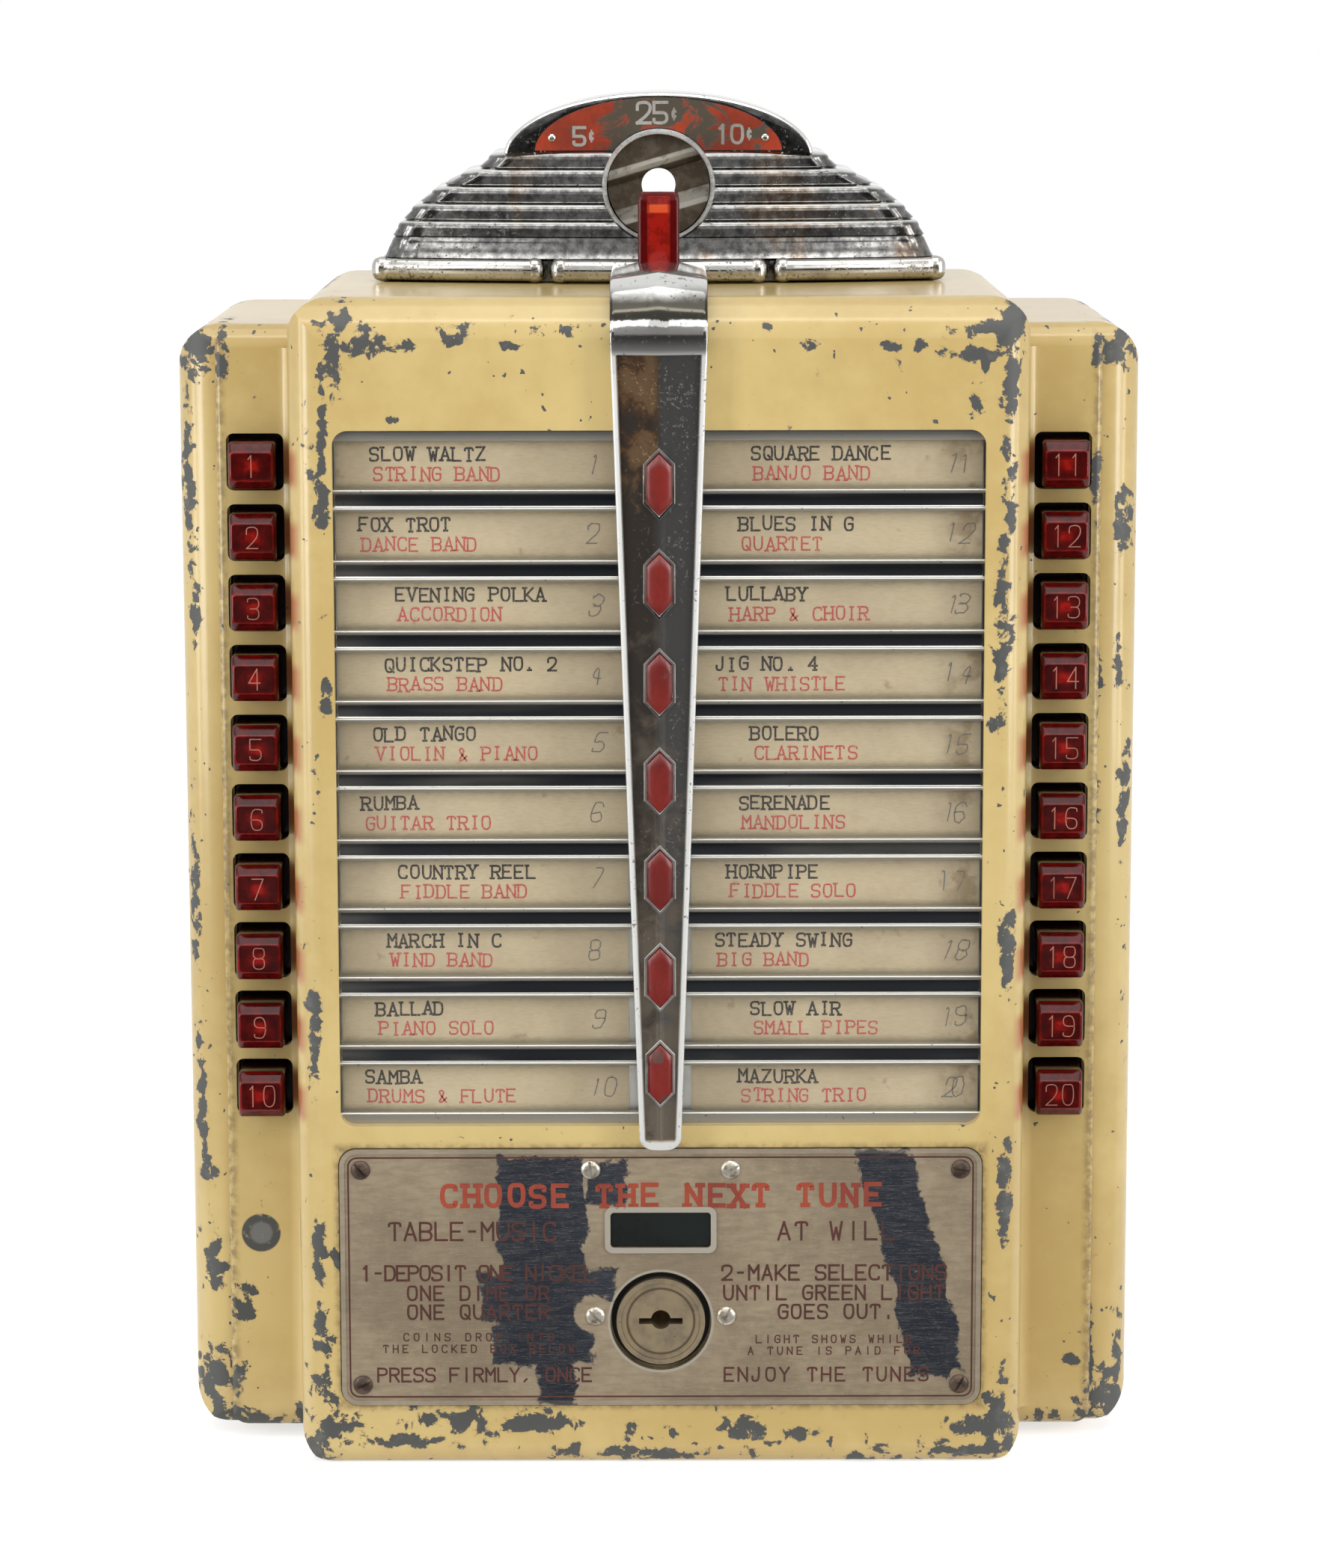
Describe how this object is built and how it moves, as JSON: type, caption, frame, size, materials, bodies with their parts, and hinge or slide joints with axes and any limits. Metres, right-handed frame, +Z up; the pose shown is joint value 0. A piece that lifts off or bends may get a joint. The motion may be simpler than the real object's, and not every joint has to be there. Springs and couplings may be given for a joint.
{
  "type": "jukebox wall box selector",
  "caption": "Coin-operated wall box selector: stepped cream case, chrome coin head and pilaster, title window, two columns of red push buttons, name plate and lock.",
  "frame": {"origin": "centre of the foot, midway between the pilaster's ridge at the front and the back plate's face", "axes": "+Z up, the front with the title window faces -Y, +X to the right as seen from the front"},
  "size_m": [0.2542, 0.1388, 0.3622],
  "materials": {
    "cream_paint": "worn semi-gloss cream paint on a casting",
    "zinc_steel": "dull zinc-plated steel",
    "dark_steel": "dark grey lacquered steel",
    "rubber": "matt black rubber",
    "bakelite": "dark brown moulded resin",
    "brass": "springy brass strip",
    "chrome": "aged bright chrome with fine pits",
    "red_enamel": "worn red enamel",
    "value_enamel": "orange-red enamel with brown stains",
    "red_plastic": "clear red moulded plastic",
    "dark_lens": "dark green moulded plastic",
    "glass": "clear glass",
    "lamp_glass": "thin blown glass",
    "card": "aged cream card",
    "nickel": "scratched nickel plate",
    "lock_metal": "worn nickel over brass",
    "can_metal": "drawn can, satin"
  },
  "bodies": {
    "chassis": {"back_plate": "zinc_steel", "cable_grommet": "rubber", "locating_pins": "zinc_steel", "button_rail_left": "zinc_steel", "button_rail_right": "zinc_steel", "switch_strips": "bakelite", "contact_blades": "brass", "lamp_holders": "brass", "lamps": "lamp_glass", "coin_chute": "zinc_steel", "coin_switch": "bakelite", "cash_carrier": "zinc_steel", "cash_box": "dark_steel", "latch_keeper": "zinc_steel", "transmitter_chassis": "zinc_steel", "power_transformer": "dark_steel", "valves": "lamp_glass", "capacitors": "can_metal", "pulse_motor": "dark_steel", "contact_disc": "bakelite"},
    "cover": {"cover_shell": "cream_paint", "stud_nuts": "zinc_steel", "window_glass": "glass", "title_rails": "chrome", "title_cards": "card", "title_board": "zinc_steel", "pilaster": "chrome", "pilaster_enamels": "red_enamel", "coin_head": "chrome", "dial_bezel": "chrome", "value_plate": "value_enamel", "jewel": "red_plastic", "nameplate": "nickel", "nameplate_screws": "nickel", "indicator_lens": "dark_lens", "lock_barrel": "lock_metal"},
    "dial": {"coin_dial": "nickel"},
    "lock": {"lock_plug": "lock_metal", "lock_cam": "zinc_steel"},
    "pulse_wiper": {"wiper": "brass"},
    "push_01": {"button_01": "red_plastic"},
    "push_02": {"button_02": "red_plastic"},
    "push_03": {"button_03": "red_plastic"},
    "push_04": {"button_04": "red_plastic"},
    "push_05": {"button_05": "red_plastic"},
    "push_06": {"button_06": "red_plastic"},
    "push_07": {"button_07": "red_plastic"},
    "push_08": {"button_08": "red_plastic"},
    "push_09": {"button_09": "red_plastic"},
    "push_10": {"button_10": "red_plastic"},
    "push_11": {"button_11": "red_plastic"},
    "push_12": {"button_12": "red_plastic"},
    "push_13": {"button_13": "red_plastic"},
    "push_14": {"button_14": "red_plastic"},
    "push_15": {"button_15": "red_plastic"},
    "push_16": {"button_16": "red_plastic"},
    "push_17": {"button_17": "red_plastic"},
    "push_18": {"button_18": "red_plastic"},
    "push_19": {"button_19": "red_plastic"},
    "push_20": {"button_20": "red_plastic"}
  },
  "joints": [
    {"name": "cover_pull", "type": "slide", "parent": "chassis", "child": "cover", "axis": [0, -1, 0], "range_m": [0, 0.15]},
    {"name": "coin_dial_turn", "type": "hinge", "parent": "cover", "child": "dial", "pos_m": [0, 0.0086, 0.3372], "axis": [0, -1, 0], "range_deg": [0, 116]},
    {"name": "lock_turn", "type": "hinge", "parent": "cover", "child": "lock", "pos_m": [0, -0.0626, 0.04], "axis": [0, -1, 0], "range_deg": [0, 90]},
    {"name": "wiper_turn", "type": "hinge", "parent": "chassis", "child": "pulse_wiper", "pos_m": [0.057, 0.0274, 0.2], "axis": [0, -1, 0], "continuous": true},
    {"name": "push_01_travel", "type": "slide", "parent": "chassis", "child": "push_01", "axis": [0, 1, 0], "range_m": [0, 0.004], "stiffness_N_per_m": 400, "springref_m": -0.002},
    {"name": "push_02_travel", "type": "slide", "parent": "chassis", "child": "push_02", "axis": [0, 1, 0], "range_m": [0, 0.004], "stiffness_N_per_m": 400, "springref_m": -0.002},
    {"name": "push_03_travel", "type": "slide", "parent": "chassis", "child": "push_03", "axis": [0, 1, 0], "range_m": [0, 0.004], "stiffness_N_per_m": 400, "springref_m": -0.002},
    {"name": "push_04_travel", "type": "slide", "parent": "chassis", "child": "push_04", "axis": [0, 1, 0], "range_m": [0, 0.004], "stiffness_N_per_m": 400, "springref_m": -0.002},
    {"name": "push_05_travel", "type": "slide", "parent": "chassis", "child": "push_05", "axis": [0, 1, 0], "range_m": [0, 0.004], "stiffness_N_per_m": 400, "springref_m": -0.002},
    {"name": "push_06_travel", "type": "slide", "parent": "chassis", "child": "push_06", "axis": [0, 1, 0], "range_m": [0, 0.004], "stiffness_N_per_m": 400, "springref_m": -0.002},
    {"name": "push_07_travel", "type": "slide", "parent": "chassis", "child": "push_07", "axis": [0, 1, 0], "range_m": [0, 0.004], "stiffness_N_per_m": 400, "springref_m": -0.002},
    {"name": "push_08_travel", "type": "slide", "parent": "chassis", "child": "push_08", "axis": [0, 1, 0], "range_m": [0, 0.004], "stiffness_N_per_m": 400, "springref_m": -0.002},
    {"name": "push_09_travel", "type": "slide", "parent": "chassis", "child": "push_09", "axis": [0, 1, 0], "range_m": [0, 0.004], "stiffness_N_per_m": 400, "springref_m": -0.002},
    {"name": "push_10_travel", "type": "slide", "parent": "chassis", "child": "push_10", "axis": [0, 1, 0], "range_m": [0, 0.004], "stiffness_N_per_m": 400, "springref_m": -0.002},
    {"name": "push_11_travel", "type": "slide", "parent": "chassis", "child": "push_11", "axis": [0, 1, 0], "range_m": [0, 0.004], "stiffness_N_per_m": 400, "springref_m": -0.002},
    {"name": "push_12_travel", "type": "slide", "parent": "chassis", "child": "push_12", "axis": [0, 1, 0], "range_m": [0, 0.004], "stiffness_N_per_m": 400, "springref_m": -0.002},
    {"name": "push_13_travel", "type": "slide", "parent": "chassis", "child": "push_13", "axis": [0, 1, 0], "range_m": [0, 0.004], "stiffness_N_per_m": 400, "springref_m": -0.002},
    {"name": "push_14_travel", "type": "slide", "parent": "chassis", "child": "push_14", "axis": [0, 1, 0], "range_m": [0, 0.004], "stiffness_N_per_m": 400, "springref_m": -0.002},
    {"name": "push_15_travel", "type": "slide", "parent": "chassis", "child": "push_15", "axis": [0, 1, 0], "range_m": [0, 0.004], "stiffness_N_per_m": 400, "springref_m": -0.002},
    {"name": "push_16_travel", "type": "slide", "parent": "chassis", "child": "push_16", "axis": [0, 1, 0], "range_m": [0, 0.004], "stiffness_N_per_m": 400, "springref_m": -0.002},
    {"name": "push_17_travel", "type": "slide", "parent": "chassis", "child": "push_17", "axis": [0, 1, 0], "range_m": [0, 0.004], "stiffness_N_per_m": 400, "springref_m": -0.002},
    {"name": "push_18_travel", "type": "slide", "parent": "chassis", "child": "push_18", "axis": [0, 1, 0], "range_m": [0, 0.004], "stiffness_N_per_m": 400, "springref_m": -0.002},
    {"name": "push_19_travel", "type": "slide", "parent": "chassis", "child": "push_19", "axis": [0, 1, 0], "range_m": [0, 0.004], "stiffness_N_per_m": 400, "springref_m": -0.002},
    {"name": "push_20_travel", "type": "slide", "parent": "chassis", "child": "push_20", "axis": [0, 1, 0], "range_m": [0, 0.004], "stiffness_N_per_m": 400, "springref_m": -0.002}
  ]
}
